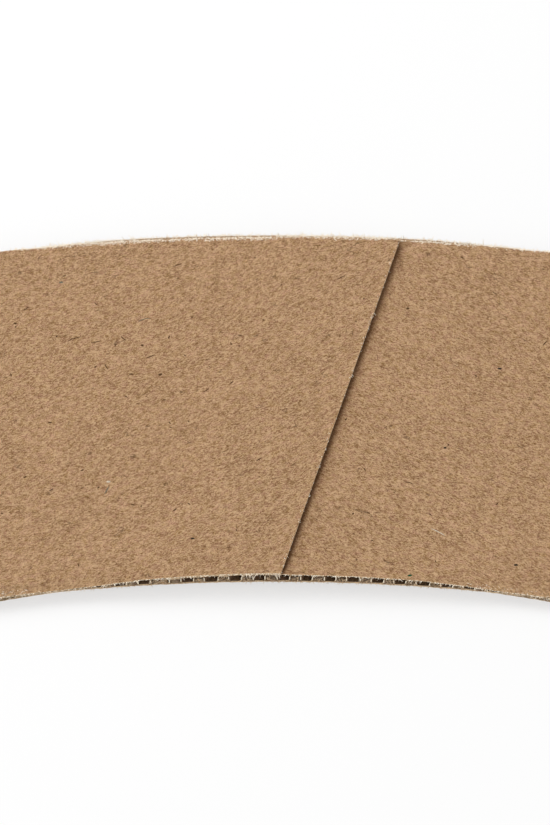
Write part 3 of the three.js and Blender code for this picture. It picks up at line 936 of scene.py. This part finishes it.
def frayed_edges(outer, inner):
    """Loose paper fibres along the cut rims and the seam edge, and the tufts that half fill
    the cells which open under the medium's crests."""
    rng = np.random.default_rng(77)
    left, right = slice(0, LEFT_NOSE), slice(RIGHT_FLAP, RIGHT_FLAP + SHOWN_COLUMNS)
    rear = slice(REAR_START, RIGHT_NOSE)

    def standing(line, count, way, spread, length, curl=0.4):
        return sprouts(rng, along_line(line, rng, count), way, spread, length, curl)

    def lying(line, count, inward, length, along=1.6):
        return laid(rng, line, count, inward, length, along)

    inside = (0, 0.45, 0)
    narrow = [
        standing(outer[0, left], 330, (0, -1, -0.1), (1.6, 0.5, 0.5), (0.12, 0.55)),
        standing(outer[0, right], 330, (0, -1, -0.1), (1.6, 0.5, 0.5), (0.12, 0.55)),
        lying(outer[0, LEFT_NOSE - 45:LEFT_NOSE] + inside, 120, (0, 0.45), (0.12, 0.4), 1.4),
        lying(outer[0, RIGHT_FLAP:RIGHT_FLAP + 47] + inside, 120, (0, 0.45), (0.12, 0.4), 1.4),
        standing(inner[0, left], 120, (0, -1, 0.2), (1.6, 0.5, 0.4), (0.12, 0.45)),
        standing(inner[0, right], 160, (0, -1, 0.2), (1.6, 0.5, 0.4), (0.12, 0.45)),
        standing(inner[0, rear], 150, (0, -1, 0), (1.6, 0.5, 0.4), (0.12, 0.4)),
    ]
    fringe = outer[-1, RIGHT_FLAP + 47:RIGHT_FLAP + 132]
    centre = inner[-1, REAR_START + 36:REAR_START + 156] - (0, 0.15, -0.05)
    wide = [
        lying(outer[-1, left], 250, (0, 0.25), (0.15, 0.6)),
        lying(outer[-1, 8:110], 480, (0, 0.5), (0.12, 0.5)),
        standing(outer[-1, 4:115], 520, (0, 1, -0.35), (1.4, 0.4, 0.2), (0.2, 0.75), 0.3),
        standing(fringe, 200, (0, 1, -0.35), (1.4, 0.4, 0.2), (0.2, 0.6), 0.3),
        lying(outer[-1, RIGHT_FLAP + 42:RIGHT_FLAP + 97], 110, (0, 0.35), (0.12, 0.4)),
        lying(outer[-1, right], 150, (0, 0.25), (0.15, 0.6)),
        standing(inner[-1, rear], 420, (0, 1, 0.1), (2.0, 0.6, 0.3), (0.12, 0.5)),
        standing(centre, 950, (0, 0.4, 0.1), (2.0, 0.6, 0.2), (0.2, 0.7)),
    ]
    seam = [
        standing(outer[:, 0] - (0, 0, 0.06), 130, (0.3, 0.2, -0.2), (0.8, 2.0, 0.3), (0.12, 0.45)),
        lying(outer[:, 0] - (0.06, 0, 0), 60, (0.2, 0), (0.12, 0.4), 0.5),
    ]
    made = [hair("narrow_rim_fibres", rng, narrow, 0.025, 0.055, pale_fibre),
            hair("wide_rim_fibres", rng, wide, 0.03, 0.075, pale_fibre),
            hair("seam_fibres", rng, seam, 0.02, 0.045, pale_fibre)]

    tufts = []
    for base, lean, first, last in TUFTED:
        step = FLUTE_PITCH / math.cos(lean)
        x = base + (np.arange(-FLUTES_EACH_WAY, FLUTES_EACH_WAY) + 0.5) * step
        x = x[(x > first) & (x < last)]
        x = np.repeat(x, TUFT_FIBRES) + rng.uniform(-TUFT_HALF_WIDTH, TUFT_HALF_WIDTH,
                                                    len(x) * TUFT_FIBRES)
        y = np.sqrt(NARROW_RADIUS ** 2 - x ** 2) + rng.uniform(-0.02, 0.35, len(x))
        low, high = plain_board(x, y)
        tall = high - low
        z = low + tall * rng.uniform(0.12, 0.5, len(x))
        ways = sprouts(rng, place(x, y, z), (0, -0.25, 0.8), (0.9, 0.3, 0.5), (0.3, 0.8), 0.35)
        ways[..., 2] = np.clip(ways[..., 2], low[:, None] + 0.12, (low + 0.86 * tall)[:, None])
        tufts.append(ways[tall > TUFT_LEAST_CELL])
    made.append(hair("cell_tufts", rng, tufts, 0.05, 0.13, brown_fibre))
    return made


# Shives and flecks pressed into the outer face, by finish: X, Y, length and heading. Short
# ones are round dots, long ones thin flakes.
FLECKS = {
    "dark": ((-14.1, 26.8, 1.4, 25), (-36.1, 18.9, 1.2, 42), (-37.6, 16.2, 0.5, 0),
             (-25.9, 19.7, 0.7, -46), (-21.7, 13.5, 1.1, -44), (-19.0, 12.2, 0.45, 0),
             (-24.1, 8.4, 1.2, -64), (-16.3, 7.0, 0.6, 24), (-9.7, 4.2, 1.2, 36),
             (10.0, 24.3, 1.5, 30), (19.7, 18.9, 0.5, 0), (32.5, 21.7, 0.8, -36),
             (39.5, 12.6, 1.0, 55), (-2.0, -8.3, 1.0, 35), (19.3, -12.1, 1.4, -18),
             (-28.9, 13.3, 2.2, 22), (-17.8, 10.2, 1.5, 27), (-25.7, 12.9, 1.5, 12)),
    "black": ((32.8, 8.1, 0.6, 0), (-31.5, -13.2, 0.75, 36), (-11.3, -21.9, 0.6, 12),
              (24.6, -6.0, 0.45, 0), (34.1, -26.1, 0.6, 0)),
    "grey": ((-31.1, 23.7, 0.6, 0), (-18.8, 16.8, 1.9, 19), (-23.6, -13.3, 1.5, 66)),
    "green": ((19.2, -27.9, 0.65, 12),),
    "pale": ((-23.4, -11.9, 0.6, 0), (23.3, -20.5, 2.4, -32)),
}
STREWN = 70
STREWN_SLIMMER = 0.6
DOT_LENGTH = 0.66
DOT_HALF_WIDTH = 0.17
FLAKE_HALF_WIDTH = 0.075
FLAKE_RISE = 0.012
FLAKE_BEND = 0.12


def flecks():
    """The listed shives and finer ones strewn by chance over the front, each a thin bent flake
    that lies in the face, widest in its middle."""
    finish = {"dark": cut_paper("dark_shive", linear(96, 70, 46)),
              "black": cut_paper("black_shive", linear(52, 44, 36)),
              "grey": cut_paper("grey_shive", linear(124, 118, 100)),
              "green": cut_paper("green_shive", linear(34, 84, 56)),
              "pale": cut_paper("pale_shive", linear(226, 212, 190))}
    rng = np.random.default_rng(8)
    t = np.linspace(-1, 1, 7)
    made = []
    for tone, material in finish.items():
        listed = np.array(FLECKS[tone])
        if tone == "dark":
            angle = rng.uniform(-0.95, 0.95, STREWN) * FOLD_ANGLE
            radius = rng.uniform(NARROW_RADIUS + 2, WIDE_RADIUS - 2, STREWN)
            listed = np.concatenate([listed, np.stack([
                radius * np.sin(angle), radius * np.cos(angle) + FAN_CENTRE_Y,
                rng.uniform(0.25, 0.7, STREWN), rng.uniform(-80, 80, STREWN)], axis=1)])
        at_x, at_y, length = listed[:, 0:1], listed[:, 1:2], listed[:, 2:3]
        way = np.radians(listed[:, 3:4])
        bend = rng.uniform(-FLAKE_BEND, FLAKE_BEND, len(listed))[:, None] * (1 - t ** 2)
        run, off = length / 2 * t, length * bend
        x = at_x + run * np.cos(way) - off * np.sin(way)
        y = at_y + run * np.sin(way) + off * np.cos(way)
        z = front_height(x, y - FAN_CENTRE_Y) + FLAKE_RISE
        half = np.where(length < DOT_LENGTH, DOT_HALF_WIDTH, FLAKE_HALF_WIDTH)
        half = half * rng.uniform(0.8, 1.15, (len(listed), 1))
        widths = half * np.sqrt(np.maximum(1.02 - t ** 2, 0.02))[None]
        if tone == "dark":
            widths[-STREWN:] *= STREWN_SLIMMER
        path = np.stack([x, y, z], axis=-1)
        made.append(strokes(tone + "_shives", path, widths, 0.35, material))
    return made


def sleeve():
    """All pieces of the sleeve."""
    outer, inner, blank, fray_and_painted_shade = board_path()
    made, outer_under, inner_under = liners(outer, inner, blank, fray_and_painted_shade)
    left, right = fold_lines()
    papers = [medium_kraft, cut_edge, medium_kraft, medium_edge]
    for name, columns in (("left_fold_fill", slice(LEFT_NOSE - 4, REAR_START + 4)),
                          ("right_fold_fill", slice(RIGHT_NOSE - 4, RIGHT_FLAP + 4)),
                          ("overlap_fill", slice(0, SEAM_COLUMNS - 6))):
        made.append(crushed_fill(name, outer_under, inner_under, blank, columns))
    left, right = (*left, FOLD_INSET), (*right, FOLD_INSET)
    hidden_end = (SEAM_FOOT, -SEAM_ALONG, -OVERLAP - END_FLUTE)
    ramp_line = (SEAM_FOOT, SEAM_ALONG, OVERLAP + RAMP_FOOT - RAMP_FLUTE)
    made.append(medium("rear_medium", rear_panel, 0.0, 0.0, left, right, papers, risen=True))
    made.append(medium("right_medium", right_flap, RIGHT_FLUTE_X, 2 * FOLD_ANGLE,
                       right, hidden_end, papers))
    made.append(medium("left_medium", left_flap, LEFT_FLUTE_X, -2 * FOLD_ANGLE,
                       left, ramp_line, papers))
    return made + frayed_edges(outer, inner) + flecks()


pieces = sleeve()
for piece in pieces:
    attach(piece, "root")
    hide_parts("sleeve")


# Floor, light and camera, in metres.
TABLE_HALF = 1.5
TABLE_WHITE = (0.985, 0.985, 0.985, 1)
BACKDROP_GLOW = 0.6
WORLD_LIGHT = 0.46
LAMPS = (("window", 7.2, 0.7, (-0.56, 0.42, 0.72)),
         ("front_fill", 3.1, 0.9, (0.50, -0.80, 0.42)))
CAMERA_DISTANCE = 0.650
CAMERA_ELEVATION = math.radians(54.5)
CAMERA_TARGET = (0.00029, 0.00122, 0.0017)
CAMERA_LENS = 196.82


def floor():
    """A wide white table top. What the camera, glossy and transmission rays see of it is partly
    plain white of strength 1, so that it shows as a white ground with the sleeve's shadow on
    it, thinned; to all other rays it is a plain diffuse white."""
    mesh = bpy.data.meshes.new("table")
    corners = [(x * TABLE_HALF, y * TABLE_HALF, 0) for x, y in ((-1, -1), (1, -1), (1, 1), (-1, 1))]
    mesh.from_pydata(corners, [], [(0, 1, 2, 3)])
    table = bpy.data.objects.new("table", mesh)
    bpy.context.scene.collection.objects.link(table)
    material = bpy.data.materials.new("table_white")
    material.use_nodes = True
    tree = material.node_tree
    shader = tree.nodes["Principled BSDF"]
    shader.inputs["Base Color"].default_value = TABLE_WHITE
    shader.inputs["Roughness"].default_value = 0.9
    shader.inputs["Specular IOR Level"].default_value = 0.0
    glow = wire(tree, "ShaderNodeEmission", {"Color": (1, 1, 1, 1), "Strength": 1.0})
    ray = wire(tree, "ShaderNodeLightPath")
    seen = math_node(tree, "MAXIMUM", ray.outputs["Is Camera Ray"], ray.outputs["Is Glossy Ray"])
    seen = math_node(tree, "MAXIMUM", seen, ray.outputs["Is Transmission Ray"])
    share = math_node(tree, "MULTIPLY", seen, BACKDROP_GLOW)
    both = wire(tree, "ShaderNodeMixShader", {0: share, 1: shader.outputs[0], 2: glow.outputs[0]})
    tree.links.new(both.outputs[0], tree.nodes["Material Output"].inputs["Surface"])
    mesh.materials.append(material)


def lamp(name, power, size, place_at):
    """A square area lamp of one size, at one place, aimed at the origin."""
    light = bpy.data.lights.new(name, "AREA")
    light.energy = power
    light.size = size
    made = bpy.data.objects.new(name, light)
    made.location = place_at
    made.rotation_euler = (-Vector(place_at)).to_track_quat("-Z", "Y").to_euler()
    bpy.context.scene.collection.objects.link(made)


def light_scene():
    """Even white light from all round, a large soft lamp high up at the back left and a low
    wide one in front that opens the shadow under the rim."""
    world = bpy.data.worlds.new("studio")
    world.use_nodes = True
    background = world.node_tree.nodes["Background"]
    background.inputs["Color"].default_value = (1, 1, 1, 1)
    background.inputs["Strength"].default_value = WORLD_LIGHT
    bpy.context.scene.world = world
    for name, power, size, place_at in LAMPS:
        lamp(name, power, size, place_at)


def camera():
    """A long lens looking down over the narrow rim."""
    lens = bpy.data.cameras.new("camera")
    lens.lens = CAMERA_LENS
    lens.sensor_width = 36
    lens.clip_start = 0.01
    made = bpy.data.objects.new("camera", lens)
    made.location = (
        CAMERA_TARGET[0],
        CAMERA_TARGET[1] - CAMERA_DISTANCE * math.cos(CAMERA_ELEVATION),
        CAMERA_TARGET[2] + CAMERA_DISTANCE * math.sin(CAMERA_ELEVATION),
    )
    made.rotation_euler = (math.pi / 2 - CAMERA_ELEVATION, 0, 0)
    bpy.context.scene.collection.objects.link(made)
    bpy.context.scene.camera = made


floor()
light_scene()
camera()
bpy.context.scene.view_settings.view_transform = "Standard"
